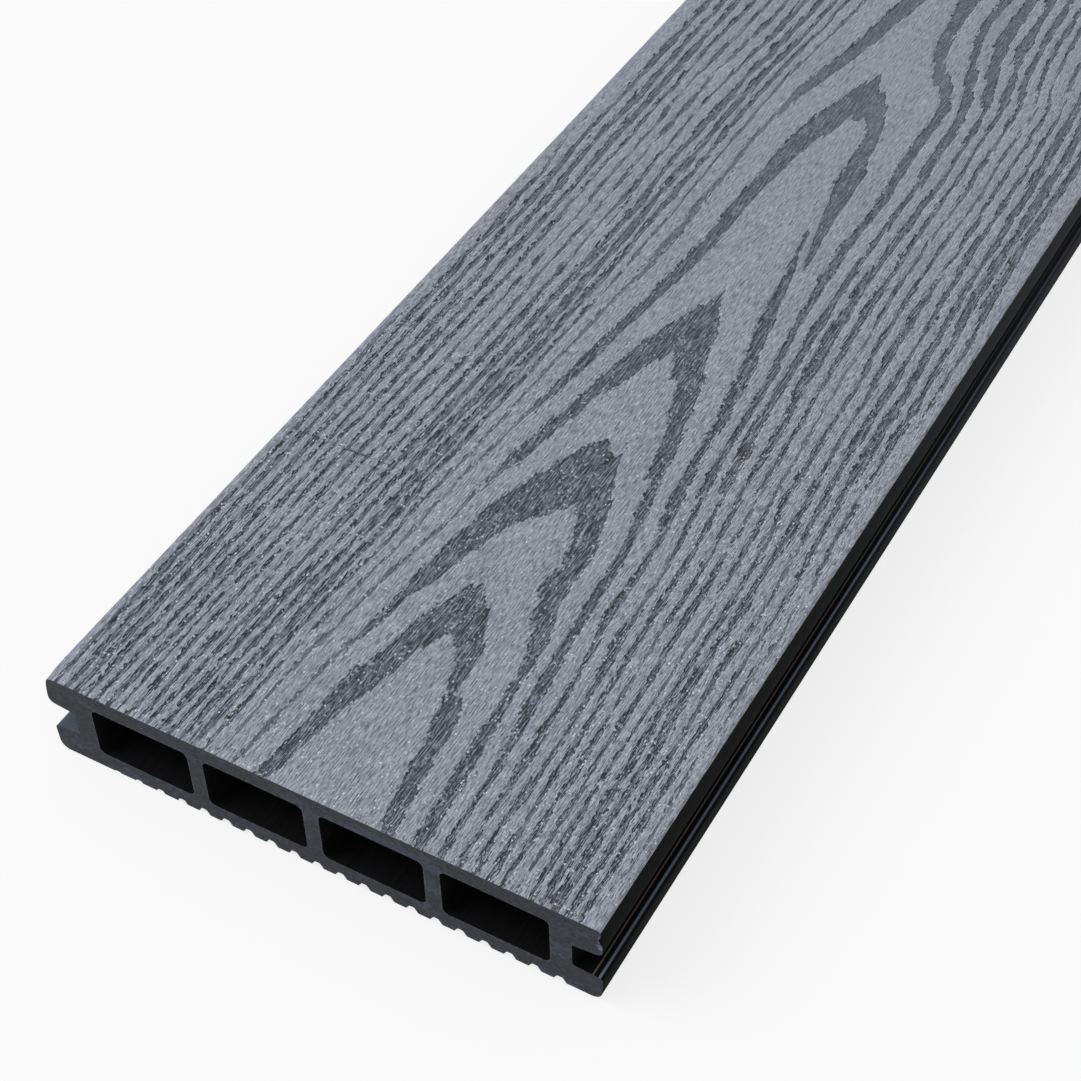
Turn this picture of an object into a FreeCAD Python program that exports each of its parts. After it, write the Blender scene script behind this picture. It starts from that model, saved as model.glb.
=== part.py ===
import FreeCAD, Part
import math
import os

# A hollow deck board, extruded in one piece from wood-filled plastic and sawn square at both ends.
# X runs across the board, Y runs along it, and Z points up out of the walking face.
# The board lies on its grooved underside at Z = 0, centred on X and Y. All sizes are in millimetres.

# The whole board
board_width = 146.0
board_thickness = 25.0
board_length = 2200.0

# The clip slot along each long edge, open to the side. Its height is taken at its inner end, where
# its middle lies a little below the board's, and from there it flares towards its mouth.
slot_depth = 7.4
slot_height = 7.2
slot_drop = 0.55
slot_floor_flare = 3.0
slot_roof_flare = 6.0
slot_floor_radius = 1.0
slot_roof_radius = 0.5

# The lips above and below each slot: a lip is widest beside its rounded slot corner, and bends
# over a shallow crown to lean in towards the board's face. Flares and leans are in degrees.
upper_lip_lean = 6.0
lower_lip_lean = 3.0
crown_radius = 20.0
walking_arris_radius = 0.9
upper_lip_radius = 1.8
lower_lip_radius = 1.2
underside_radius = 2.6

# The chambers, which share the width between the two side walls
chamber_count = 4
top_wall = 4.8
bottom_wall = 5.1
side_wall = 5.4
web_thickness = 4.2
chamber_radius = 1.7

# The grooves along the underside. They stop short of the long edges, and they fade out at the left
# edge: the first of them has no depth left, and the next ones deepen evenly to the full depth.
groove_pitch = 6.25
groove_edge_margin = 10.0
groove_depth = 1.5
groove_root_width = 1.3
groove_flank_angle = 32.0
groove_root_radius = 0.45
fading_grooves = 5

# Places worked out from the sizes
half_width = board_width / 2
slot_end = half_width - slot_depth
slot_floor = (board_thickness - slot_height) / 2 - slot_drop
slot_roof = slot_floor + slot_height
lower_lip_edge = slot_floor - slot_depth * math.tan(math.radians(slot_floor_flare))
upper_lip_edge = slot_roof + slot_depth * math.tan(math.radians(slot_roof_flare))
hollow_half_width = slot_end - side_wall
chamber_width = (2 * hollow_half_width - (chamber_count - 1) * web_thickness) / chamber_count
chamber_roof = board_thickness - top_wall


def section_point(x, z):
    """A point of the cross-section, which is drawn at the board's near end."""
    return FreeCAD.Vector(x, -board_length / 2, z)


def rounded_wire(corners):
    """Close a wire through corners given as (x, z, radius): straight runs joined by tangent arcs."""
    points = [section_point(x, z) for x, z, radius in corners]
    starts = []
    ends = []
    edges = []
    for index, (x, z, radius) in enumerate(corners):
        corner = points[index]
        back = (points[index - 1] - corner).normalize()
        onward = (points[(index + 1) % len(points)] - corner).normalize()
        half_angle = back.getAngle(onward) / 2
        tangent_length = radius / math.tan(half_angle)
        starts.append(corner + back * tangent_length)
        ends.append(corner + onward * tangent_length)
        if radius > 0:
            inward = (back + onward).normalize()
            middle = corner + inward * (radius / math.sin(half_angle) - radius)
            edges.append(Part.Arc(starts[-1], middle, ends[-1]).toShape())
    for index, end in enumerate(ends):
        edges.append(Part.makeLine(end, starts[(index + 1) % len(starts)]))
    return Part.Wire(Part.__sortEdges__(edges))


def long_edge(side):
    """Corners of one long edge from the underside up; side is 1 for the right and -1 for the left."""
    lower_slope = math.radians(lower_lip_lean)
    upper_slope = math.radians(upper_lip_lean)
    lower_crown = lower_lip_edge - lower_lip_radius - crown_radius * math.tan(lower_slope / 2)
    upper_crown = upper_lip_edge + upper_lip_radius + crown_radius * math.tan(upper_slope / 2)
    underside_edge = half_width - lower_crown * math.tan(lower_slope)
    walking_edge = half_width - (board_thickness - upper_crown) * math.tan(upper_slope)
    return [
        (side * underside_edge, 0, underside_radius),
        (side * half_width, lower_crown, crown_radius),
        (side * half_width, lower_lip_edge, lower_lip_radius),
        (side * slot_end, slot_floor, slot_floor_radius),
        (side * slot_end, slot_roof, slot_roof_radius),
        (side * half_width, upper_lip_edge, upper_lip_radius),
        (side * half_width, upper_crown, crown_radius),
        (side * walking_edge, board_thickness, walking_arris_radius),
    ]


def underside_grooves():
    """Corners of the grooves from left to right: each has sloping flanks and a rounded root."""
    grooves_per_side = int((half_width - groove_edge_margin) / groove_pitch)
    corners = []
    for index in range(1, 2 * grooves_per_side + 1):
        middle = (index - grooves_per_side) * groove_pitch
        depth = groove_depth * min(1, index / fading_grooves)
        root = groove_root_width / 2
        mouth = root + depth * math.tan(math.radians(groove_flank_angle))
        root_radius = min(groove_root_radius, depth / 2)
        corners += [
            (middle - mouth, 0, 0),
            (middle - root, depth, root_radius),
            (middle + root, depth, root_radius),
            (middle + mouth, 0, 0),
        ]
    return corners


def outer_wire():
    """The outline of the board: underside with its grooves, right edge, walking face, left edge."""
    return rounded_wire([long_edge(-1)[0]] + underside_grooves() + long_edge(1) + long_edge(-1)[:0:-1])


def chamber_wire(index):
    """The outline of one chamber, counted from the left."""
    left = -hollow_half_width + index * (chamber_width + web_thickness)
    right = left + chamber_width
    return rounded_wire([
        (left, bottom_wall, chamber_radius),
        (right, bottom_wall, chamber_radius),
        (right, chamber_roof, chamber_radius),
        (left, chamber_roof, chamber_radius),
    ])


def make_board():
    """The cross-section with its chambers, extruded over the length of the board."""
    wires = [outer_wire()] + [chamber_wire(index) for index in range(chamber_count)]
    section = Part.makeFace(wires, "Part::FaceMakerBullseye")
    return section.extrude(FreeCAD.Vector(0, board_length, 0))


os.makedirs("parts", exist_ok=True)
make_board().exportStep("parts/board.step")
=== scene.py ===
"""The looks of a hollow composite decking board: one closed mesh with an embossed wood grain.

Sizes are in millimetres. X runs across the board, Y along it and Z up out of the walking face. The grain
is laid out from the near end, the one at the lowest Y.
"""

import math

import bpy
import numpy as np
from mathutils import Matrix, Vector
from mathutils.geometry import delaunay_2d_cdt


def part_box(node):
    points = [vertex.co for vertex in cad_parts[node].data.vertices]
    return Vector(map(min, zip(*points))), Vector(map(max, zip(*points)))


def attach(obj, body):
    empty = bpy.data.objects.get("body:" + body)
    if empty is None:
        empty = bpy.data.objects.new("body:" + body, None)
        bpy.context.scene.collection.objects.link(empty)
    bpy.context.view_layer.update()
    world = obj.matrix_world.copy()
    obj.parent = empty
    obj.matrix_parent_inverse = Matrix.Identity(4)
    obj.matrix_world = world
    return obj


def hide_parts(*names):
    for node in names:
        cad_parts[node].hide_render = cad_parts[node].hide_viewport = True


MM = 0.001

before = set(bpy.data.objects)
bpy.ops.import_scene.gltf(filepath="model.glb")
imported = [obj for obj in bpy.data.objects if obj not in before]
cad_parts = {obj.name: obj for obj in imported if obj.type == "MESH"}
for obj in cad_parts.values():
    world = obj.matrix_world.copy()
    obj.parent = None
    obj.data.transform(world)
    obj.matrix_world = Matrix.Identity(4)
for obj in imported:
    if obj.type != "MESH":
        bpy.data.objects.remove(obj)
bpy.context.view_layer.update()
low, high = (np.array(corner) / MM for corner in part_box("board"))

# The section, with the same sizes as the solid's
width, length, thickness = high - low
half_width = width / 2
slot_depth = 7.4
slot_height = 7.2
slot_drop = 0.55
slot_floor_flare = math.radians(3)
slot_roof_flare = math.radians(6)
slot_floor_radius = 1.0
slot_roof_radius = 0.5
upper_lip_lean = math.radians(6)
lower_lip_lean = math.radians(3)
crown_radius = 20.0
walking_arris_radius = 0.9
upper_lip_radius = 1.8
lower_lip_radius = 1.2
underside_radius = 2.6
chamber_count = 4
top_wall = 4.8
bottom_wall = 5.1
side_wall = 5.4
web_thickness = 4.2
chamber_radius = 1.7
groove_pitch = 6.25
groove_edge_margin = 10.0
groove_depth = 1.5
groove_root_width = 1.3
groove_flank_angle = math.radians(32)
groove_root_radius = 0.45
fading_grooves = 5
arc_step = math.radians(15)

# The saw tore a bite out of the right upper lip's face at the near end: its height above the ground, and
# how far it reaches up and down, inward and along the board. Only points this near to the side move, and
# the upper lips' faces have extra points from a little below that height to a little above it.
bite_height = 21.6
bite_half_height = 1.1
bite_depth = 0.75
bite_length = 1.6
bite_zone = 1.0
lip_face_below = 1.1
lip_face_above = 2.0
lip_face_points = 6

# The left corner of the walking face is worn round at the near end: how far down and inward at most, and
# how far the wear reaches around the arris and along it
wear_down = 0.55
wear_inward = 0.25
wear_reach = 1.7
wear_length = 3.0

# The embossed face: the depth of its grooves, the width of their walls, by what share their depth varies,
# what share of it is left at the sawn ends, over what length it comes back, and half the face's width
relief_depth = 0.4
relief_wall = 0.4
relief_variation = 0.25
relief_at_end = 0.3
relief_return = 2.0
relief_half_width = 71.0

# The plain land along the long edges is wider on the left, past this distance from the near end
plain_land = 2.2
wider_left_land = 4.0
wider_land_from = 140.0
wider_land_over = 130.0

# The embossed face's mesh is fine over the stretch that the camera sees, and coarser beyond it
column_step = 0.45
column_count = int(2 * relief_half_width / column_step)
near_row_step = 3.4
far_row_step = 11.5
near_stretch = 460.0
row_easing = 60.0

# Growth rings. A ring's edge crosses the middle of the board, and makes the tip of an arch, where the
# ring line below passes a whole number. Places are distances from the near end.
ring_at = (
    (-60, -1.2), (1, -0.25), (35, 0.22), (62, 0.72), (76, 1.0), (92, 1.12), (113, 1.5), (133.5, 2.0),
    (165, 2.52), (198, 3.0), (245, 3.27), (272, 3.4), (293, 3.68), (313, 4.0), (350, 4.35), (430, 5.0),
    (520, 5.55), (590, 5.7), (650, 5.45), (715, 5.0), (765, 4.2), (815, 3.5), (870, 2.75), (930, 2.35),
    (990, 2.5), (1050, 3.05), (1120, 3.6), (1200, 4.0), (1300, 4.6), (1385, 5.05), (1460, 5.3), (1540, 5.1),
    (1610, 4.5), (1680, 3.7), (1740, 3.0), (1790, 2.2), (1835, 1.75), (1880, 1.8), (1930, 2.3), (1990, 3.0),
    (2060, 3.55), (2130, 4.0), (2200, 4.5),
)

# The dark part of each ring at the middle of the board, and the line that the arches are centred on: how
# far it lies to the right of the board's middle
arch_share_at = (
    (0, 0.57), (20, 0.5), (35, 0.42), (54, 0.37), (64, 0.48), (75, 0.5), (93, 0.55), (106, 0.6), (120, 0.56),
    (142, 0.4), (168, 0.4), (200, 0.33), (230, 0.4), (265, 0.42), (290, 0.33), (330, 0.38),
    (400, 0.4), (600, 0.5), (800, 0.42), (1000, 0.5), (1300, 0.4), (1600, 0.52), (1900, 0.42), (2200, 0.5),
)
axis_at = (
    (0, 4.0), (130, 4.0), (200, 3.2), (250, 2.2), (290, 1.2), (340, 0.0), (430, -1.0), (600, -4.0),
    (800, 2.0), (1000, 5.0), (1300, -3.0), (1600, 3.0), (1900, 0.0), (2200, 4.0),
)

# How far the tips of the arches lie to the right of that line
tip_shift_at = (
    (-60, 0), (0, 0), (40, -0.5), (62, -3.2), (77, -4.0), (88, 0.0), (104, 3.4), (122, 0.8), (133, 0.0),
    (150, -0.3), (168, -1.4), (185, 0.0), (198, 0.4), (240, 0.0), (280, 0.3), (313, -1.8), (345, 0.0),
    (2200, 0),
)


def smooth_step(value):
    """0 up to 0, 1 from 1 on, and a cubic with level ends between them."""
    value = np.clip(value, 0, 1)
    return value * value * (3 - 2 * value)


def line_through(knots, places):
    """A smooth line through the knots: on each stretch a cubic, whose slope at a knot is the mean of the
    slopes of the two chords that meet there."""
    knot_places, values = np.array(knots, float).T
    chords = np.diff(values) / np.diff(knot_places)
    slopes = np.concatenate([chords[:1], (chords[1:] + chords[:-1]) / 2, chords[-1:]])
    index = np.clip(np.searchsorted(knot_places, places) - 1, 0, len(chords) - 1)
    span = knot_places[index + 1] - knot_places[index]
    share = np.clip((places - knot_places[index]) / span, 0, 1)
    rise = values[index + 1] - values[index]
    bend_in = slopes[index] * span - rise
    bend_out = rise - slopes[index + 1] * span
    return values[index] + share * rise + share * (1 - share) * ((1 - share) * bend_in + share * bend_out)


# A random field repeats after this many cells each way. The middle of the board's near end lies at this
# place in it, which is inside a cell and not on its edge.
lattice_size = 256
lattice_start = (1000.3, 1000.7)


def random_field(x, y, wide, long, seed):
    """Smooth random values from -1 to 1: random numbers on a lattice of cells wide by long, blended
    across each cell by a cubic."""
    table = np.random.default_rng(seed).uniform(-1, 1, (lattice_size + 1, lattice_size + 1))
    across = x / wide + lattice_start[0]
    along = y / long + lattice_start[1]
    column, row = np.floor(across).astype(int), np.floor(along).astype(int)
    across, along = smooth_step(across - column), smooth_step(along - row)
    column, row = column % lattice_size, row % lattice_size
    near = table[column, row] * (1 - across) + table[column + 1, row] * across
    far = table[column, row + 1] * (1 - across) + table[column + 1, row + 1] * across
    return near * (1 - along) + far * along


# Ring field: how the count of rings grows from the middle of the board to its long edges. Pairs are for
# the left and the right side.
bowl_width = 300.0
tip_blunting = 0.12
tip_width = 3.0
tip_shift_reach = 9.0
bowl_edges = (23.0, 36.0)
flank_rings_per_mm = (0.335, 0.325)
flank_easing = (5.0, 6.0)
straight_from = (26.0, 38.0)
straight_over = (50.0, 34.0)
straightness = (1.0, 0.75)

# The outer rings swing away from one tip: its place, how far the swing reaches below and above it, how
# many rings it takes, its share on the left, and where it comes in and goes out across the board
swing_place = 300.0
swing_below = 64.0
swing_above = 25.0
swing_size = 0.75
left_swing = 0.35
swing_from = 10.0
swing_over = 12.0
swing_until = 40.0
swing_fading = 35.0

# No ring number and no count of rings per mm is taken as less than these
innermost_ring = 0.05
least_rings_per_mm = 0.01

# How far the rings waver to the side, in long waves and in short ones, and how far their tips fray
long_waver = 0.5
short_waver = 0.4
tip_fraying = 2.6

# Swells that draw the rings inward, and dents that push them outward: x, distance from the near end, reach
# across, reach along, and rings added
ring_swells = (
    (18, 347, 9, 22, 0.42), (24, 276, 8, 15, 0.3), (43, 316, 9, 13, -0.55), (-15, 75, 4, 13, -0.28),
    (-15, 100, 6, 9, -0.16), (-11, 38, 4, 12, -0.12), (-6, 62, 4, 8, -0.08), (13, 43, 4, 10, 0.09),
    (24, 60, 4, 20, -0.16), (33, 20, 5, 30, -0.2), (-19, 5, 4, 25, 0.2), (14, 112, 5, 9, 0.15),
    (-18.5, 97, 3, 16, 0.45), (25, 165, 7, 35, -0.2), (0, 291, 2.2, 5, 0.05),
)

# Places where the roller left the grooves shallow: x, distance from the near end, half width, half length,
# how far the place leans across for each mm along, and how much less deep it is in mm of groove edge
shallow_places = (
    (14.8, 224, 0.8, 20, -0.19, 6.0), (13.5, 43, 5, 5, 0.1, 2.2),
    (-6, 300, 5, 12, 0.0, 0.6), (33, 60, 2.2, 22, -0.1, 0.7), (-13, 60, 4, 10, -0.1, 0.7),
)

# The dark part of a ring: what it usually is, its limits, what is left of it at the sawn ends and over
# what length it comes back, and how far to either side of their line the arches have their own
usual_share = 0.38
share_limits = (0.13, 0.7)
share_at_end = 0.8
end_fade = 3.0
arch_half_width = 14.0

# Stripes along the whole board whose rings are darker or paler: x, reach across, and what is added to the
# dark share. The pale stripe counts in full, and the others not where the arches have their own share.
share_stripes = ((-33, 5, 0.12), (61, 5, 0.12), (-60, 8, 0.08), (-47, 5, -0.08))
pale_stripe = (-22.5, 5, -0.22)

# Spots where the grooves are wider or narrower: x, distance from the near end, reach across, reach along,
# and what is added to the dark share
share_spots = (
    (17, 318, 6, 45, -0.2), (29, 318, 8, 55, 0.16), (48, 230, 7, 150, -0.06), (62, 300, 5, 80, 0.14),
    (-33, 150, 5, 80, 0.12), (-60, 290, 4, 60, 0.12), (-36, 310, 4, 50, 0.14), (-48, 230, 7, 120, -0.12),
    (33, 190, 5, 60, 0.12), (-9, 150, 5, 22, -0.1), (-66, 30, 6, 60, 0.08), (26, 95, 4, 40, 0.06),
    (49, 50, 8, 130, -0.12), (52, 290, 6, 90, -0.12), (41, 345, 6, 50, 0.1), (-22.5, 45, 5, 40, 0.08),
    (-40.5, 200, 2.5, 80, -0.12), (-31, 180, 4, 60, 0.1), (62.5, 190, 2.5, 60, 0.1),
    (-17, 105, 3.5, 20, -0.14), (-17.5, 28, 3, 35, -0.12), (33, 35, 3.5, 40, 0.12),
    (-6, 284, 4.5, 14, 0.06), (7, 284, 4.5, 16, -0.08),
)

# Where the painted light on the slot floors comes in above the lower lip and goes out above the floor, and
# the two painted lines on the right slot's floor, a highlight and a reflection: x from and to
slot_floor_from = (6.9, 7.1)
slot_floor_to = (9.0, 9.5)
highlight_line_across = (71.9, 72.42)
reflection_line_across = (70.45, 70.8)

# Marks across the walking face: the two places across that each runs between, its distance from the near
# end, and half its width along the board. The scratch is deepest on one stretch.
deep_scratch = ((-54, -47), 97, 0.35)
light_scratch = ((-71, -34), 97, 0.25)
pale_streak = ((-70, -10), 72.5, 0.35)
pale_tick = ((15, 16.6), 305, 1.2)
land_bridges = (((-14.5, -8), 39.5, 0.6), ((12, 17), 41, 0.5))


def round_spot(x, y, place_x, place_y, wide, long):
    """1 at the place, falling off as a bell over that reach across and along."""
    return np.exp(-((x - place_x) / wide) ** 2 - ((y - place_y) / long) ** 2)


def soft_stripe(x, place, wide, amount):
    """The amount at the place across, falling off as a bell over that reach."""
    return amount * np.exp(-((x - place) / wide) ** 2)


def rings_across(distance, edge, rings_per_mm, easing):
    """Rings counted outward from the middle: they grow with the square of the distance, with a small
    extra at the tips of the arches, up to the bowl's edge, and evenly past it."""
    bowl = distance ** 2 / bowl_width
    past = np.maximum(distance - edge, 0)
    edge_slope = 2 * edge / bowl_width
    flank = edge ** 2 / bowl_width + rings_per_mm * past
    flank -= (rings_per_mm - edge_slope) * easing * (1 - np.exp(-past / easing))
    return np.where(distance < edge, bowl, flank) + tip_blunting * (1 - np.exp(-distance / tip_width))


def ring_field(x, y):
    """The ring number at x across the board and y from the near end. It is the ring line's value at y,
    which counts fully in the middle and less towards the edges, where rings run straight, plus the rings
    counted across. The middle wanders by up to 1 mm, and near the fourth tip the outer rings swing away
    from it."""
    wander = random_field(0 * x, y, 10, 45, 3)
    distance = x - line_through(axis_at, y) - wander
    distance = distance - line_through(tip_shift_at, y) * np.exp(-(distance / tip_shift_reach) ** 2)
    left = distance < 0
    distance = np.abs(distance)
    across = [rings_across(distance, *side) for side in zip(bowl_edges, flank_rings_per_mm, flank_easing)]
    straight = [
        full * smooth_step((distance - start) / over)
        for start, over, full in zip(straight_from, straight_over, straightness)
    ]
    reach = np.where(y < swing_place, swing_below, swing_above)
    swing = swing_size * np.exp(-((y - swing_place) / reach) ** 2) * np.where(left, left_swing, 1)
    comes_in = smooth_step((distance - swing_from) / swing_over)
    swing *= comes_in * (1 - smooth_step((distance - swing_until) / swing_fading))
    along = line_through(ring_at, y) - swing
    for *spot, amount in ring_swells:
        along = along + amount * round_spot(x, y, *spot)
    ring = np.where(left, across[0], across[1]) + along * (1 - np.where(left, straight[0], straight[1]))
    return np.maximum(ring, innermost_ring)


def dark_share(x, y):
    """The part of each ring that is pressed in and dark. Some rings are strong and some are faint, and it
    falls to nothing in the plain land along the long edges."""
    middle = line_through(axis_at, y)
    arch = np.exp(-((x - middle) / arch_half_width) ** 2)
    share = usual_share + 0.12 * random_field(x, y, 4.2, 170, 21) + 0.09 * random_field(x, y, 13, 80, 22)
    share += 0.16 * random_field(x, y, 2.1, 16, 24) * smooth_step((np.abs(x) - 22) / 10)
    for stripe in share_stripes:
        share += soft_stripe(x, *stripe)
    share = share * (1 - arch) + arch * line_through(arch_share_at, y)
    for *spot, extra in share_spots:
        share += extra * round_spot(x, y, *spot)
    share = np.clip(share + soft_stripe(x, *pale_stripe), *share_limits)
    edge = relief_half_width - np.abs(x)
    widening = smooth_step((y - wider_land_from) / wider_land_over)
    plain = plain_land + np.where(x < 0, wider_left_land * widening, 0)
    at_end = share_at_end + (1 - share_at_end) * smooth_step(np.minimum(y, length - y) / end_fade)
    return share * smooth_step(edge / plain) * at_end


def shallowness(x, y):
    """How far the shallow places draw a groove's edges in, in mm: soft spots, which may lean."""
    drawn_in = np.zeros_like(x)
    for place_x, place_y, wide, long, lean, amount in shallow_places:
        across = (x - place_x - lean * (y - place_y)) / wide
        drawn_in += amount * np.exp(-across ** 2 - ((y - place_y) / long) ** 2)
    return drawn_in


def grain(x, y):
    """Ring number, dark share and rings per mm on the face. The rings waver: the field is read a little
    to the side, in long waves and short ones, and a little along the fibres, which frays the tips."""
    aside = long_waver * random_field(x, y, 6, 30, 11) + short_waver * random_field(x, y, 1.9, 12, 12)
    ahead = tip_fraying * random_field(x, y, 1.3, 40, 13)
    ring = ring_field(x + aside, y + ahead)
    step_x, step_y = 0.25, 2.0
    slope_x = (ring_field(x + step_x, y) - ring_field(x - step_x, y)) / (2 * step_x)
    slope_y = (ring_field(x, y + step_y) - ring_field(x, y - step_y)) / (2 * step_y)
    return ring, dark_share(x, y), np.hypot(slope_x, slope_y)


def inside_groove(ring, share, rings_per_mm):
    """Distance in mm from the nearest edge of a dark band, above 0 inside it."""
    from_middle = np.abs((ring + share / 2 + 0.5) % 1 - 0.5)
    return (share / 2 - from_middle) / np.maximum(rings_per_mm, least_rings_per_mm)


# Outlines and the patches of surface made from them


def unit(vector):
    """The vector at a length of 1."""
    return vector / np.linalg.norm(vector)


def rounded_outline(corners):
    """Points of an outline through corners given as (x, z, radius), with the solid on its left, and the
    surface normals just before and just after each point. A corner's arc is points at its radius from
    its centre, while the normal turns evenly from one straight run's to the next one's."""
    places = np.array(corners, float)[:, :2]
    points, before, after = [], [], []
    for index, (corner, radius) in enumerate(zip(places, np.array(corners, float)[:, 2])):
        arriving = unit(corner - places[index - 1])
        leaving = unit(places[(index + 1) % len(places)] - corner)
        turn = math.atan2(arriving[0] * leaving[1] - arriving[1] * leaving[0], arriving @ leaving)
        first = math.atan2(-arriving[0], arriving[1])
        if radius == 0:
            points.append(corner[None])
            before.append([[math.cos(first), math.sin(first)]])
            after.append([[math.cos(first + turn), math.sin(first + turn)]])
            continue
        steps = max(2, math.ceil(abs(turn) / arc_step))
        angles = first + turn * np.linspace(0, 1, steps + 1)
        normals = np.stack([np.cos(angles), np.sin(angles)], 1)
        side = math.copysign(1, turn)
        to_centre = unit(leaving - arriving) * radius / math.cos(turn / 2)
        points.append(corner + to_centre + side * radius * normals)
        before.append(normals)
        after.append(normals)
    return np.concatenate(points), np.concatenate(before), np.concatenate(after)


def long_edge(side):
    """Corners of one long edge from the underside up; side is 1 for the right and -1 for the left. The
    upper lip's face also has points on its straight run, where the bite can move them."""
    slot_end = half_width - slot_depth
    slot_floor = (thickness - slot_height) / 2 - slot_drop
    slot_roof = slot_floor + slot_height
    lower_lip_edge = slot_floor - slot_depth * math.tan(slot_floor_flare)
    upper_lip_edge = slot_roof + slot_depth * math.tan(slot_roof_flare)
    lower_crown = lower_lip_edge - lower_lip_radius - crown_radius * math.tan(lower_lip_lean / 2)
    upper_crown = upper_lip_edge + upper_lip_radius + crown_radius * math.tan(upper_lip_lean / 2)
    underside_edge = half_width - lower_crown * math.tan(lower_lip_lean)
    walking_edge = half_width - (thickness - upper_crown) * math.tan(upper_lip_lean)
    face_heights = np.linspace(bite_height - lip_face_below, bite_height + lip_face_above, lip_face_points)
    lip_face = [
        (side * (half_width - (z - upper_crown) * math.tan(upper_lip_lean)), z, 0) for z in face_heights
    ]
    return [
        (side * underside_edge, 0, underside_radius),
        (side * half_width, lower_crown, crown_radius),
        (side * half_width, lower_lip_edge, lower_lip_radius),
        (side * slot_end, slot_floor, slot_floor_radius),
        (side * slot_end, slot_roof, slot_roof_radius),
        (side * half_width, upper_lip_edge, upper_lip_radius),
        (side * half_width, upper_crown, crown_radius),
        *lip_face,
        (side * walking_edge, thickness, walking_arris_radius),
    ]


def underside_grooves():
    """Corners of the grooves from left to right. The first ones deepen step by step."""
    per_side = int((half_width - groove_edge_margin) / groove_pitch)
    corners = []
    for index in range(1, 2 * per_side + 1):
        middle = (index - per_side) * groove_pitch
        depth = groove_depth * min(1, index / fading_grooves)
        root = groove_root_width / 2
        mouth = root + depth * math.tan(groove_flank_angle)
        root_radius = min(groove_root_radius, depth / 2)
        corners += [
            (middle - mouth, 0, 0),
            (middle - root, depth, root_radius),
            (middle + root, depth, root_radius),
            (middle + mouth, 0, 0),
        ]
    return corners


def chamber_corners(index):
    """Corners of one chamber, clockwise, so that the solid is on the outline's left."""
    hollow_half_width = half_width - slot_depth - side_wall
    chamber_width = (2 * hollow_half_width - (chamber_count - 1) * web_thickness) / chamber_count
    left = -hollow_half_width + index * (chamber_width + web_thickness)
    right = left + chamber_width
    roof = thickness - top_wall
    corners = ((left, bottom_wall), (left, roof), (right, roof), (right, bottom_wall))
    return [(x, z, chamber_radius) for x, z in corners]


class Patch:
    """A stretch of surface: its points, its faces as rows of point numbers, for each corner of each face
    a normal and a place on the bake's map, and the number of the finish, of all faces or of each."""

    def __init__(self, points, faces, normals, places, finish, grain_values=None):
        self.points = points
        self.faces = faces
        self.normals = normals
        self.places = places
        self.finish = np.broadcast_to(finish, len(faces))
        self.grain_values = np.zeros((len(points), 4)) if grain_values is None else grain_values


def grid_faces(rows, columns):
    """Four-cornered faces of a grid whose points are numbered along each row, one row after another."""
    start = np.arange(rows - 1)[:, None] * columns + np.arange(columns - 1)
    return np.stack([start, start + 1, start + columns + 1, start + columns], -1).reshape(-1, 4)


def fit_to(values, low_end, high_end):
    """Values spread evenly so that their lowest falls on low_end and their highest on high_end."""
    spread = values.max() - values.min()
    return low_end + (values - values.min()) / spread * (high_end - low_end)


def end_stations():
    """Places along the board of the swept surfaces: close together at the near end, where a lip is torn
    and a corner is worn."""
    return low[1] + np.array([0, 0.6, 1.5, 3, 5, 8, 12, 18, 30, length])


def swept_patch(outline, closed, map_span, map_rise, finish):
    """An outline carried straight along the board. Each stretch between two points of the outline and two
    stations is one face, whose corners have the outline's normals."""
    points, before, after = outline
    if closed:
        points, before, after = (np.concatenate([part, part[:1]]) for part in (points, before, after))
    stations = end_stations()
    count = len(points)
    run = np.concatenate([[0], np.cumsum(np.linalg.norm(np.diff(points, axis=0), axis=1))])
    y, x = np.broadcast_arrays(stations[:, None], points[None, :, 0])
    z = np.broadcast_to(points[:, 1], x.shape)
    grid = np.stack([x, y, z], -1).reshape(-1, 3)
    faces = grid_faces(len(stations), count)[:, ::-1]
    column = faces % count
    starts = column == column.min(1)[:, None]
    facing = np.where(starts[..., None], after[column], before[column])
    normals = np.stack([facing[..., 0], 0 * facing[..., 0], facing[..., 1]], -1)
    across = fit_to(run, *map_span)[column]
    along = fit_to(stations, *map_rise)[faces // count]
    return Patch(grid, faces, normals, np.stack([across, along], -1), finish)


def row_places():
    """Distances of the rows of the embossed face from the near end. The step between two rows eases from
    the near one to the far one."""
    places = [0.0]
    while places[-1] < length:
        far = smooth_step((places[-1] - near_stretch) / row_easing)
        places.append(places[-1] + near_row_step + (far_row_step - near_row_step) * float(far))
    places = np.array(places)
    return places * length / places[-1]


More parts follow.
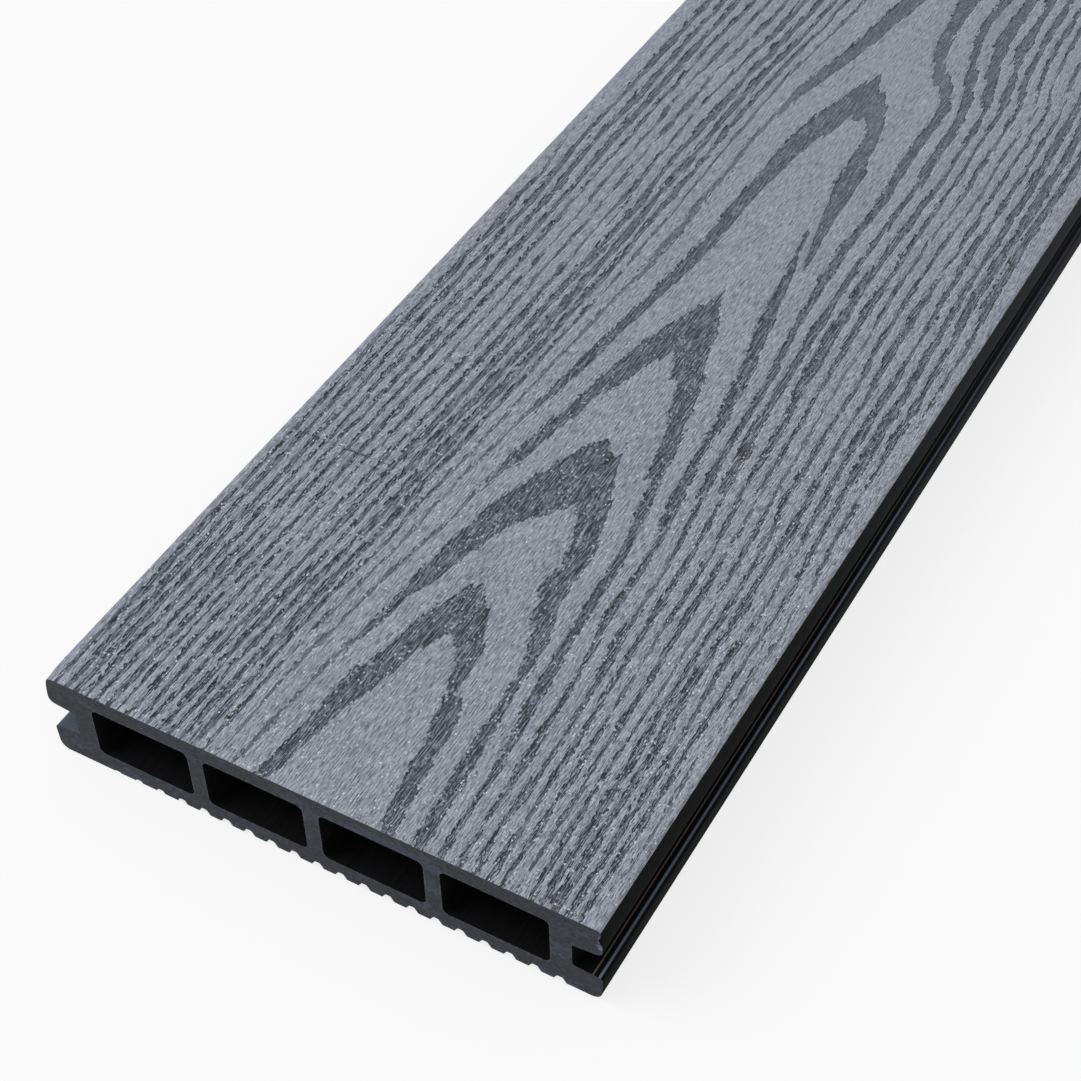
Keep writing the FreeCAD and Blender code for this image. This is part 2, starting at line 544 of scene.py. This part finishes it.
def embossed_patch(map_spans, map_rise, finish):
    """The walking face as heights over a grid: level, and lower by the relief's depth where a ring is
    dark, with walls about as wide as they are deep. Its near half and its far half have one strip of the
    bake's map each."""
    across = np.linspace(-relief_half_width, relief_half_width, column_count)
    along = row_places()
    x, y = np.meshgrid(across, along)
    ring, share, rings_per_mm = grain(x, y)
    drawn_in = shallowness(x, y)
    inside = inside_groove(ring, share, rings_per_mm) - drawn_in
    depth = relief_depth * smooth_step(inside / relief_wall + 0.5)
    depth *= 1 + relief_variation * random_field(x, y, 3, 30, 31)
    from_end = np.minimum(y, length - y)
    depth *= relief_at_end + (1 - relief_at_end) * smooth_step(from_end / relief_return)
    depth[:, [0, -1]] = 0
    height = thickness - depth
    slope_along, slope_across = np.gradient(height, along, across)
    points = np.stack([x, y + low[1], height], -1).reshape(-1, 3)
    normals = np.stack([-slope_across, -slope_along, np.ones_like(x)], -1).reshape(-1, 3)
    faces = grid_faces(len(along), column_count)
    row = faces // column_count
    second_half = (row.min(1) >= len(along) // 2)[:, None]
    split = along[len(along) // 2]
    u = (x / width + 0.5).reshape(-1)[faces]
    u = np.where(second_half, map_spans[1][0], map_spans[0][0]) + u * (map_spans[0][1] - map_spans[0][0])
    v = y.reshape(-1)[faces]
    v = np.where(second_half, (v - split) / (length - split), v / split)
    v = map_rise[0] + v * (map_rise[1] - map_rise[0])
    values = np.stack([ring, share, rings_per_mm, drawn_in], -1).reshape(-1, 4)
    return Patch(points, faces, normals[faces], np.stack([u, v], -1), finish, values)


def land_patch(side, embossed, skin_points, map_span, map_rise, finish):
    """The flat strip between the embossed face's outer column and the arris, as triangles: each step
    along either line makes one with the nearest point of the other."""
    inner = embossed.points.reshape(-1, column_count, 3)[:, -1 if side > 0 else 0]
    arris = skin_points[-1 if side > 0 else 0]
    stations = end_stations()
    outer = np.stack([np.full_like(stations, arris[0]), stations, np.full_like(stations, arris[1])], 1)
    points = np.concatenate([inner, outer])
    order = np.argsort(points[:, 1], kind="stable")
    is_outer = order >= len(inner)
    passed_outer = np.cumsum(is_outer) - 1
    passed_inner = np.cumsum(~is_outer) - 1
    step = np.arange(2, len(order))
    inner_step = ~is_outer[step]
    tip = order[step]
    back = np.where(inner_step, passed_inner[step] - 1, len(inner) + passed_outer[step] - 1)
    across = np.where(inner_step, len(inner) + passed_outer[step], passed_inner[step])
    faces = np.stack([back, np.where(inner_step, across, tip), np.where(inner_step, tip, across)], 1)
    if side < 0:
        faces = faces[:, ::-1]
    normals = np.broadcast_to([0.0, 0.0, 1.0], faces.shape + (3,))
    u = fit_to(points[:, 0], *map_span)[faces]
    v = fit_to(points[:, 1], *map_rise)[faces]
    return Patch(points, faces, normals, np.stack([u, v], -1), finish)


def end_patch(side, loops, map_span, map_rise, finish):
    """A sawn end: the section's outlines joined by triangles, without those inside a chamber, which are
    the ones with all three corners on its outline."""
    flat = np.concatenate(loops)
    sizes = [len(loop) for loop in loops]
    starts = np.cumsum([0] + sizes[:-1])
    edges = [
        (start + i, start + (i + 1) % size) for start, size in zip(starts, sizes) for i in range(size)
    ]
    corners = [Vector(point) for point in flat.tolist()]
    triangles, sources = delaunay_2d_cdt(corners, edges, [], 1, 1e-6)[2:4]
    faces = np.array([source[0] for source in sources])[np.array(triangles)]
    loop_of = np.repeat(np.arange(len(loops)), sizes)[faces]
    in_chamber = (loop_of[:, 0] > 0) & (loop_of == loop_of[:, :1]).all(1)
    faces = faces[~in_chamber]
    y = low[1] if side < 0 else high[1]
    points = np.stack([flat[:, 0], np.full(len(flat), y), flat[:, 1]], 1)
    if side > 0:
        faces = faces[:, ::-1]
    normals = np.broadcast_to([0.0, float(side), 0.0], faces.shape + (3,))
    u = fit_to(points[:, 0], *map_span)[faces]
    v = fit_to(points[:, 2], *map_rise)[faces]
    return Patch(points, faces, normals, np.stack([u, v], -1), finish)


def tear_lip(points):
    """Moves points at the bite inward: most at its middle height and at the sawn end, falling off as a
    bell up and down the lip and evenly along the board."""
    x, y, z = points.T
    bell = np.exp(-((z - bite_height) / bite_half_height) ** 2)
    share = np.clip(1 - (y - low[1]) / bite_length, 0, 1)
    moved = bite_depth * bell * share * (x > half_width - bite_zone)
    return points - np.stack([moved, 0 * x, 0 * x], 1)


def wear_corner(points):
    """Moves points around the near end's left corner of the walking face down and inward: most at the
    corner, falling off as a bell around the arris and along it."""
    x, y, z = points.T
    around = ((x + half_width) ** 2 + (z - thickness) ** 2) / wear_reach ** 2
    share = np.exp(-around - ((y - low[1]) / wear_length) ** 2)
    return points + np.stack([wear_inward * share, 0 * x, -wear_down * share], 1)


def joined_mesh(name, patches, finishes):
    """One closed mesh from patches: the near end's damage is put in, points in the same place become one,
    and each corner keeps its patch's normal and its place on the bake's map."""
    weld_step = 0.0005
    counts = [len(patch.points) for patch in patches]
    offsets = np.cumsum([0] + counts[:-1])
    points = wear_corner(tear_lip(np.concatenate([patch.points for patch in patches])))
    values = np.concatenate([patch.grain_values for patch in patches])
    keys = np.round(points / weld_step).astype(np.int64)
    first, same = np.unique(keys, axis=0, return_index=True, return_inverse=True)[1:]
    same = same.reshape(-1)
    corners = np.concatenate([same[patch.faces + o].reshape(-1) for patch, o in zip(patches, offsets)])
    sizes = np.concatenate([np.full(len(patch.faces), patch.faces.shape[1]) for patch in patches])
    normals = np.concatenate([patch.normals.reshape(-1, 3) for patch in patches])
    places = np.concatenate([patch.places.reshape(-1, 2) for patch in patches])
    slots = np.concatenate([patch.finish for patch in patches])
    mesh = bpy.data.meshes.new(name)
    mesh.vertices.add(len(first))
    mesh.vertices.foreach_set("co", (points[first] * MM).astype(np.float32).ravel())
    mesh.loops.add(len(corners))
    mesh.loops.foreach_set("vertex_index", corners.astype(np.int32))
    mesh.polygons.add(len(sizes))
    mesh.polygons.foreach_set("loop_start", np.concatenate([[0], np.cumsum(sizes)[:-1]]).astype(np.int32))
    mesh.polygons.foreach_set("loop_total", sizes.astype(np.int32))
    mesh.polygons.foreach_set("material_index", slots.astype(np.int32))
    for column, attribute in enumerate(("ring", "dark_share", "rings_per_mm", "drawn_in")):
        layer = mesh.attributes.new(attribute, "FLOAT", "POINT")
        layer.data.foreach_set("value", values[first, column].astype(np.float32))
    bake_map = mesh.uv_layers.new(name="OFBake")
    bake_map.uv.foreach_set("vector", places.astype(np.float32).ravel())
    for finish in finishes:
        mesh.materials.append(finish)
    mesh.update(calc_edges=True)
    mesh.polygons.foreach_set("use_smooth", np.ones(len(sizes), bool))
    normals = normals / np.linalg.norm(normals, axis=1, keepdims=True)
    mesh.normals_split_custom_set(normals.tolist())
    return mesh


def board_piece(finishes):
    """The whole board: embossed face, flat lands beside it, skin, chambers and sawn ends. Every patch has
    a strip of the bake's map of its own, and the four finishes are numbered from 0 in this order: face,
    skin, sawn end and chamber."""
    on_face, on_skin, on_end, on_chamber = range(4)
    strip_rise = (0.0, 0.925)
    face_spans = ((0.0, 0.37), (0.375, 0.745))
    land_spans = ((0.746, 0.751), (0.752, 0.757))
    skin_span = (0.76, 0.905)
    chamber_spans = [(0.907 + 0.023 * index, 0.928 + 0.023 * index) for index in range(chamber_count)]
    end_rise = (0.93, 1.0)
    end_spans = ((0.0, 0.41), (0.42, 0.83))
    outline = rounded_outline(long_edge(-1)[::-1] + underside_grooves() + long_edge(1))
    skin_points, skin_normals = outline[:2]
    chambers = [rounded_outline(chamber_corners(index)) for index in range(chamber_count)]
    face = embossed_patch(face_spans, strip_rise, on_face)
    patches = [face]
    for side, span in zip((-1, 1), land_spans):
        patches.append(land_patch(side, face, skin_points, span, strip_rise, on_face))
    brushed = (skin_points[:, 1] > thickness - walking_arris_radius) & (skin_normals[:, 1] > 0.3)
    skin_finishes = np.where(brushed[:-1] & brushed[1:], on_face, on_skin)
    skin_finishes = np.tile(skin_finishes, len(end_stations()) - 1)
    patches.append(swept_patch(outline, False, skin_span, strip_rise, skin_finishes))
    for chamber, span in zip(chambers, chamber_spans):
        patches.append(swept_patch(chamber, True, span, strip_rise, on_chamber))
    rows = face.points.reshape(-1, column_count, 3)
    for side, row, span in zip((-1, 1), (rows[0], rows[-1]), end_spans):
        outer = np.concatenate([skin_points, row[::-1][:, [0, 2]]])
        loops = [outer] + [chamber[0] for chamber in chambers]
        patches.append(end_patch(side, loops, span, end_rise, on_end))
    mesh = joined_mesh("deck_board", patches, finishes)
    piece = bpy.data.objects.new("deck_board", mesh)
    bpy.context.scene.collection.objects.link(piece)
    return piece


# Finishes


def from_srgb(red, green, blue):
    """A colour as Blender wants it, from its values of 0 to 255 in a picture."""
    values = [value / 255 for value in (red, green, blue)]
    linear = [v / 12.92 if v <= 0.04045 else ((v + 0.055) / 1.055) ** 2.4 for v in values]
    return (*linear, 1.0)


class Wire:
    """A socket of a material. Sums and products of wires and numbers add the Math nodes they need."""

    def __init__(self, tree, socket=None):
        self.tree = tree
        self.socket = socket

    def node(self, kind, settings=None, sockets=None, output=0):
        """Adds a node: its settings first, then a value or a wire for each of its sockets."""
        node = self.tree.nodes.new(kind)
        for name, value in (settings or {}).items():
            setattr(node, name, value)
        for name, value in (sockets or {}).items():
            if isinstance(value, Wire):
                self.tree.links.new(value.socket, node.inputs[name])
            else:
                node.inputs[name].default_value = value
        return Wire(self.tree, node.outputs[output] if len(node.outputs) else None)

    def also(self, output):
        """Another output of the node that this wire comes from."""
        return Wire(self.tree, self.socket.node.outputs[output])

    def math(self, operation, *others):
        """A Math node of this wire and the others."""
        return self.node("ShaderNodeMath", {"operation": operation}, dict(enumerate((self, *others))))

    def __add__(self, other):
        return self.math("ADD", other)

    def __sub__(self, other):
        return self.math("SUBTRACT", other)

    def __rsub__(self, other):
        return self.math("MULTIPLY_ADD", -1, other)

    def __mul__(self, other):
        return self.math("MULTIPLY", other)

    def __truediv__(self, other):
        return self.math("DIVIDE", other)

    def __abs__(self):
        return self.math("ABSOLUTE")

    __radd__ = __add__
    __rmul__ = __mul__

    def step(self, start, end):
        """0 up to start, 1 from end on, and smooth between them."""
        settings = {"interpolation_type": "SMOOTHSTEP"}
        return self.node("ShaderNodeMapRange", settings, {0: self, 1: start, 2: end})

    def mix(self, one, other):
        """The colour one where this wire is 0, and other where it is 1."""
        return self.node("ShaderNodeMix", {"data_type": "RGBA"}, {0: self, 6: one, 7: other}, 2)

    def attribute(self, name):
        """The value of that name which the mesh carries."""
        return self.node("ShaderNodeAttribute", {"attribute_name": name}, output="Fac")

    def place(self, cell):
        """The place on the piece, in cells of the given size in mm across, along and up."""
        here = self.node("ShaderNodeTexCoord", output="Object")
        scale = tuple(1 / (MM * size) for size in cell) + (0,) * (3 - len(cell))
        return self.node("ShaderNodeMapping", sockets={"Vector": here, "Scale": scale})

    def noise(self, cell, detail):
        """Soft noise about 0, mostly within -1 to 1, with cells of that size. A cell of two sizes gives a
        pattern that is the same at every height."""
        settings = {"noise_dimensions": f"{len(cell)}D"}
        sockets = {"Vector": self.place(cell), "Scale": 1.0, "Detail": detail}
        return (self.node("ShaderNodeTexNoise", settings, sockets) - 0.5) * 4

    def specks(self, cell, share, size):
        """Dots in a share of the cells: 1 at a dot, which is that part of its cell across."""
        settings = {"voronoi_dimensions": f"{len(cell)}D"}
        sockets = {"Vector": self.place(cell), "Scale": 1.0}
        distance = self.node("ShaderNodeTexVoronoi", settings, sockets, output="Distance")
        chance = self.node("ShaderNodeSeparateColor", sockets={0: distance.also("Color")})
        shrunk = distance / (chance.also("Green") * 0.9 + 0.4)
        return (1 - shrunk.step(size * 0.5, size)) * chance.step(1 - share, 1.02 - share)

    def across(self):
        """The place across the board in mm. Its output Z is the height above the ground."""
        return self.node("ShaderNodeSeparateXYZ", sockets={0: self.place((1, 1, 1))})

    def from_end(self):
        """The distance from the near end in mm."""
        return self.across().also("Y") - low[1]

    def band(self, start, end, soft):
        """1 between the values start and end, with edges that soft."""
        return self.step(start - soft, start + soft) * (1 - self.step(end - soft, end + soft))

    def mark(self, ends, middle, reach):
        """A straight mark across the board: 1 between two places across, at a distance from the near end
        and that many mm to either side of it."""
        along = self.from_end().band(middle - reach, middle + reach, reach * 0.4)
        return along * self.across().band(*ends, 1)

    def bump(self, height):
        """A normal bent by a height in mm."""
        return self.node("ShaderNodeBump", sockets={"Height": height, "Distance": MM})


def new_finish(name):
    """An empty material and a wire in it to start from."""
    finish = bpy.data.materials.new(name)
    finish.use_nodes = True
    finish.node_tree.nodes.clear()
    return finish, Wire(finish.node_tree)


def close_finish(finish, start, sockets):
    """Ends a material with a Principled shader."""
    shader = start.node("ShaderNodeBsdfPrincipled", sockets=sockets, output="BSDF")
    start.node("ShaderNodeOutputMaterial", sockets={"Surface": shader})
    return finish


def embossed_finish():
    """The walking face: pale brushed lands, and dark grooves with frayed edges and fibres in them. Just
    inside each groove's edge is a line of painted shade, and on the land beside it a painted highlight.
    Lines fade towards the back. A few marks lie across it, and pale specks painted as highlights, thickest
    near the near end."""
    finish, start = new_finish("embossed_face")
    ring = start.attribute("ring")
    share = start.attribute("dark_share")
    rings_per_mm = start.attribute("rings_per_mm")
    peel = start.noise((0.42, 0.7), 0.0)
    fibres = start.noise((0.32, 2.8), 1.0)
    combed = start.noise((0.27, 6.0), 0.0)
    slivers = start.noise((0.8, 7.0), 1.0)
    ragged = start.noise((0.65, 1.5), 0.0)
    threads = 1 - abs(start.noise((0.65, 3.0), 0.0)).step(0.04, 0.22)
    torn = start.noise((4.5, 9), 0.0).step(-0.1, 0.9)
    from_end = start.from_end()
    back = from_end.step(120, 330)
    clouds = start.noise((8, 26), 1.0)
    busy = rings_per_mm.step(0.1, 0.3)
    from_middle = abs((ring + share / 2 + 0.5).math("FRACT") - 0.5)
    inside = (share / 2 - from_middle) / rings_per_mm.math("MAXIMUM", least_rings_per_mm)
    inside = inside - start.attribute("drawn_in") - (1 - share.step(0.0, 0.1))
    inside = inside + ragged * (0.34 - back * 0.16 - busy * 0.12) + slivers * (busy * 0.1 + 0.42)
    inside = inside + fibres * 0.18 + peel * (0.1 - busy * 0.05)
    dark = inside.step(-0.06, 0.06)
    # Painted shade: a band just inside each groove's edge, where its wall is in shade
    wall_shade = inside.step(0.0, 0.06) * (1 - inside.step(0.2, 0.38))
    # Painted highlight: a pale rim on the land just outside each groove's edge
    rim = inside.step(-0.45, -0.2) * (1 - inside.step(-0.15, -0.04))
    hairs = combed.step(0.55, 1.1) * (1 - busy * 0.5)
    scribbles = 1 - abs(start.noise((0.5, 3.2), 0.0) + 0.35).step(0.04, 0.2)
    dashes = fibres.step(0.35, 0.6) - (fibres * -1).step(0.45, 0.7)
    land_light = fibres * (0.5 - back * 0.2) + dashes * (0.5 - back * 0.2) + peel * (0.3 - back * 0.16)
    land_light = land_light + clouds * 0.14 + rim * 0.6
    land_light = land_light + threads * (busy * 0.5 + 0.2) - hairs * 0.8 - scribbles * (busy * 0.9 + 0.1)
    land_light = (land_light + 0.4).step(-1.6, 2.2)
    land = land_light.mix(from_srgb(78, 83, 96), from_srgb(186, 190, 203))
    groove_light = combed * 0.9 + fibres * 0.3 + dashes * 0.35 + peel * 0.4 + threads * (torn * 2.4 + 0.9)
    groove_light = (groove_light - scribbles * 1.1 + busy * 0.25 - 0.3).step(-1.2, 2.1)
    groove = groove_light.mix(from_srgb(20, 25, 36), from_srgb(156, 162, 180))
    groove = (back * (0.45 - busy * 0.1)).mix(groove, from_srgb(98, 103, 115))
    depth = share.step(0.16, 0.36)
    groove = (depth * 0.7 + 0.3).mix(from_srgb(118, 122, 133), groove)
    colour = dark.mix(land, groove)
    # Painted shade: a near black line along the groove walls, stronger where the groove is deep
    wall_shade_line = wall_shade * (slivers * 0.6 + 0.8).step(0.0, 0.6) * (depth * 0.5 + 0.5)
    colour = (wall_shade_line * 0.95).mix(colour, from_srgb(18, 20, 27))
    scratch = start.mark(*deep_scratch) + start.mark(*light_scratch) * (fibres * 0.8).step(0, 0.5)
    colour = (scratch.math("MINIMUM", 1.0) * 0.8).mix(colour, from_srgb(40, 43, 50))
    ticks = start.mark(*pale_streak) * (fibres * 0.9 + 0.1).step(0, 0.5) + start.mark(*pale_tick)
    colour = (ticks.math("MINIMUM", 1.0) * 0.6).mix(colour, from_srgb(186, 190, 202))
    bridged = sum(start.mark(*bridge) for bridge in land_bridges)
    colour = (bridged * (ragged * 0.7 + 0.8).step(0.0, 1.0)).mix(colour, land)
    # Painted highlights: pale specks, thickest near the near end and thinning out towards the back
    highlight_speck_share = 1 - from_end.step(80, 300) * 0.75
    specks = start.specks((0.8, 1.0), 0.16, 0.34) * highlight_speck_share * (peel * 0.8 + 0.8).step(0.0, 1.0)
    colour = (specks * 0.9).mix(colour, from_srgb(222, 226, 235))
    sockets = {
        "Base Color": colour,
        "Roughness": 0.62 + peel * 0.05,
        "Normal": start.bump(fibres * 0.05 + peel * 0.04),
        "Specular IOR Level": 0.4,
    }
    return close_finish(finish, start, sockets)


def skin_finish():
    """The smooth skin that the die leaves: charcoal, with faint drawn lines along the board. The right
    edge is painted near black at the near end as painted shade, and its slot's floor has a painted highlight
    line by the mouth and a brown painted reflection line further in, which fade along the board. The left
    slot's floor is painted paler all over, as painted light."""
    finish, start = new_finish("extruded_skin")
    lines = start.noise((0.5, 160, 0.5), 1.0)
    clouds = start.noise((5, 40, 5), 2.0)
    light = (lines * 0.3 + clouds * 0.3 + 0.4).step(0.0, 1.2)
    # Painted shade: this near black is used only for the shaded right edge
    black = light.mix(from_srgb(12, 13, 13), from_srgb(22, 24, 24))
    charcoal = light.mix(from_srgb(44, 46, 50), from_srgb(54, 56, 60))
    across = start.across()
    height = across.also("Z")
    from_end = start.from_end()
    # Painted shade: the right edge is near black at the near end, fading along the board, on the side away
    # from the lamp
    right_edge_shade = across.step(60, 64) * (1 - from_end.step(60, 330))
    colour = right_edge_shade.mix(charcoal, black)
    slot_floor = height.step(*slot_floor_from) * (1 - height.step(*slot_floor_to))
    # Painted light: the left slot's floor is paler all over, where the light falls into it
    left_slot_light = slot_floor * (1 - across.step(slot_depth - half_width, 1 + slot_depth - half_width))
    colour = (left_slot_light * (clouds * 0.2 + 0.8)).mix(colour, from_srgb(95, 100, 112))
    fading = 1 - from_end.step(120, 320) * 0.7
    # Painted highlight: a pale line on the right slot's floor by the mouth
    highlight_line = slot_floor * across.band(*highlight_line_across, 0.12) * fading
    colour = (highlight_line * (clouds * 0.2 + 0.8)).mix(colour, from_srgb(122, 128, 146))
    # Painted reflection: a brown line further in on the right slot's floor
    reflection_line = slot_floor * across.band(*reflection_line_across, 0.1) * fading
    colour = reflection_line.mix(colour, from_srgb(102, 93, 90))
    sockets = {
        "Base Color": colour,
        "Roughness": 0.7 + clouds * 0.06,
        "Normal": start.bump(lines * 0.03 + clouds * 0.02),
        "Specular IOR Level": 0.02,
    }
    return close_finish(finish, start, sockets)


def chamber_shade_finish():
    """The skin inside the chambers, painted near black as the shade in the hollows, with faint drawn lines
    along the board.
    """
    finish, start = new_finish("chamber_shade")
    lines = start.noise((0.9, 90, 0.9), 1.0)
    # Painted shade: near black, because the inside of the hollows is in shade
    colour = (lines * 0.4 + 0.5).step(0.0, 1.2).mix(from_srgb(7, 7, 9), from_srgb(16, 16, 19))
    sockets = {
        "Base Color": colour,
        "Roughness": 0.7 + lines * 0.08,
        "Normal": start.bump(lines * 0.04),
        "Specular IOR Level": 0.1,
    }
    return close_finish(finish, start, sockets)


def sawn_finish():
    """The sawn ends: charcoal, mottled by the saw, with bluish patches, pits and pale specks. The rims of
    the chambers and the bite in the lip are paler, and a dark line runs along the top."""
    finish, start = new_finish("sawn_end")
    mottle = start.noise((1.2, 1.2, 0.9), 2.0)
    patches = start.noise((13, 13, 5), 1.0)
    grit = start.noise((0.25, 0.25, 0.25), 1.0)
    pits = start.specks((2.4, 2.4, 2.4), 0.3, 0.2)
    specks = start.specks((1.1, 1.1, 1.1), 0.2, 0.16)
    light = (mottle * 0.4 + grit * 0.3 + 0.4).step(-0.4, 1.4)
    colour = light.mix(from_srgb(24, 25, 30), from_srgb(59, 61, 69))
    colour = ((patches + mottle * 0.6).step(0.0, 1.0) * 0.75).mix(colour, from_srgb(60, 67, 82))
    across = start.across()
    height = across.also("Z")
    top_line = height.step(thickness - 0.7, thickness - 0.3)
    colour = (top_line * (mottle * 0.6 + 0.6).step(0.0, 1.0)).mix(colour, from_srgb(36, 37, 41))
    hollow_width = 2 * (half_width - slot_depth - side_wall)
    pitch = (hollow_width + web_thickness) / chamber_count
    sideways = abs((across / pitch).math("FRACT") - 0.5) * pitch
    upright = abs(height - (bottom_wall + thickness - top_wall) / 2)
    past_side = (sideways - (pitch - web_thickness) / 2 + chamber_radius).math("MAXIMUM", 0.0)
    past_top = (upright - (thickness - top_wall - bottom_wall) / 2 + chamber_radius).math("MAXIMUM", 0.0)
    from_chamber = (past_side * past_side + past_top * past_top).math("SQRT") - chamber_radius
    among_chambers = 1 - abs(across).step(hollow_width / 2 + 1, hollow_width / 2 + 2)
    rim = (1 - from_chamber.step(0.1, 0.4)) * among_chambers
    colour = (rim * (mottle * 0.4 + 0.5).step(0.0, 1.0) * 0.7).mix(colour, from_srgb(88, 95, 110))
    lip_face = across.step(half_width - 1.5, half_width - 0.7)
    torn = lip_face * height.band(bite_height - 3, bite_height + 1.4, 0.6)
    colour = (torn * (mottle * 0.6 + 0.6).step(0.0, 1.0)).mix(colour, from_srgb(108, 116, 134))
    colour = pits.mix(colour, from_srgb(22, 22, 24))
    colour = (specks * 0.5).mix(colour, from_srgb(120, 125, 136))
    sockets = {
        "Base Color": colour,
        "Roughness": 0.72 + grit * 0.06,
        "Normal": start.bump(mottle * 0.05 + grit * 0.04),
        "Specular IOR Level": 0.3,
    }
    return close_finish(finish, start, sockets)


def seen_white(start):
    """1 for the camera's rays and for those in reflections and through glass, and 0 for all others."""
    paths = start.node("ShaderNodeLightPath", output="Is Camera Ray")
    seen = paths + paths.also("Is Glossy Ray") + paths.also("Is Transmission Ray")
    return seen.math("MINIMUM", 1.0)


def floor_finish():
    """A white floor, which keeps the board's shadow. To the camera and in reflections most of its
    brightness is its own."""
    finish, start = new_finish("white_floor")
    diffuse = start.node("ShaderNodeBsdfDiffuse", sockets={"Color": (0.95, 0.95, 0.95, 1)})
    glow = start.node("ShaderNodeEmission", sockets={"Color": (1, 1, 1, 1), "Strength": 1.0})
    own_share = seen_white(start) * 0.8
    both = start.node("ShaderNodeMixShader", sockets={0: own_share, 1: diffuse, 2: glow})
    start.node("ShaderNodeOutputMaterial", sockets={"Surface": both})
    return finish


# The stage


def add_floor():
    """A level square well past the board, just under it."""
    reach = 60.0
    gap = 0.0005
    level = low[2] * MM - gap
    mesh = bpy.data.meshes.new("floor")
    corners = [(-reach, -reach, level), (reach, -reach, level), (reach, reach, level), (-reach, reach, level)]
    mesh.from_pydata(corners, [], [(0, 1, 2, 3)])
    mesh.materials.append(floor_finish())
    floor = bpy.data.objects.new("floor", mesh)
    bpy.context.scene.collection.objects.link(floor)


def add_world():
    """An even white sky."""
    world = bpy.data.worlds.new("sky")
    world.use_nodes = True
    world.node_tree.nodes.clear()
    start = Wire(world.node_tree)
    light = start.node("ShaderNodeBackground", sockets={"Color": (1, 1, 1, 1), "Strength": 0.5})
    white = start.node("ShaderNodeBackground", sockets={"Color": (1, 1, 1, 1), "Strength": 1.0})
    sky = start.node("ShaderNodeMixShader", sockets={0: seen_white(start), 1: light, 2: white})
    start.node("ShaderNodeOutputWorld", sockets={"Surface": sky})
    bpy.context.scene.world = world


def add_lamp(name, place, aim, size, power):
    """A square lamp at a place in metres, turned towards another."""
    light = bpy.data.lights.new(name, "AREA")
    light.size = size
    light.energy = power
    lamp = bpy.data.objects.new(name, light)
    lamp.location = place
    lamp.rotation_euler = (Vector(place) - Vector(aim)).to_track_quat("Z", "Y").to_euler()
    bpy.context.scene.collection.objects.link(lamp)


# The camera: its place from the middle of the near end's underside, in degrees the way it turns left from
# straight along the board, how far it looks down and its roll, its lens and sensor, and how near it sees
camera_place = (198.78, -229.52, 407.58)
camera_turn = 30.961
camera_down = 45.571
camera_roll = -1.807
camera_lens = 74.01
camera_sensor = 36.0
camera_nearest = 10.0


def add_camera():
    """The camera that took the picture, rolled first, then tilted up from straight down and turned."""
    place = Vector((camera_place[0], low[1] + camera_place[1], camera_place[2])) * MM
    turn = Matrix.Rotation(math.radians(camera_turn), 4, "Z")
    tilt = Matrix.Rotation(math.radians(90 - camera_down), 4, "X")
    roll = Matrix.Rotation(math.radians(camera_roll), 4, "Z")
    data = bpy.data.cameras.new("camera")
    data.sensor_width = camera_sensor
    data.lens = camera_lens
    data.clip_start = camera_nearest * MM
    camera = bpy.data.objects.new("camera", data)
    camera.matrix_world = Matrix.Translation(place) @ turn @ tilt @ roll
    bpy.context.scene.collection.objects.link(camera)
    bpy.context.scene.camera = camera


board = board_piece([embossed_finish(), skin_finish(), sawn_finish(), chamber_shade_finish()])
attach(board, "root")
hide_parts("board")

add_floor()
add_world()
add_lamp("key", place=(-1.9, -1.9, 2.2), aim=(0, -0.9, 0), size=2.2, power=52)
add_camera()
bpy.context.scene.view_settings.view_transform = "Standard"
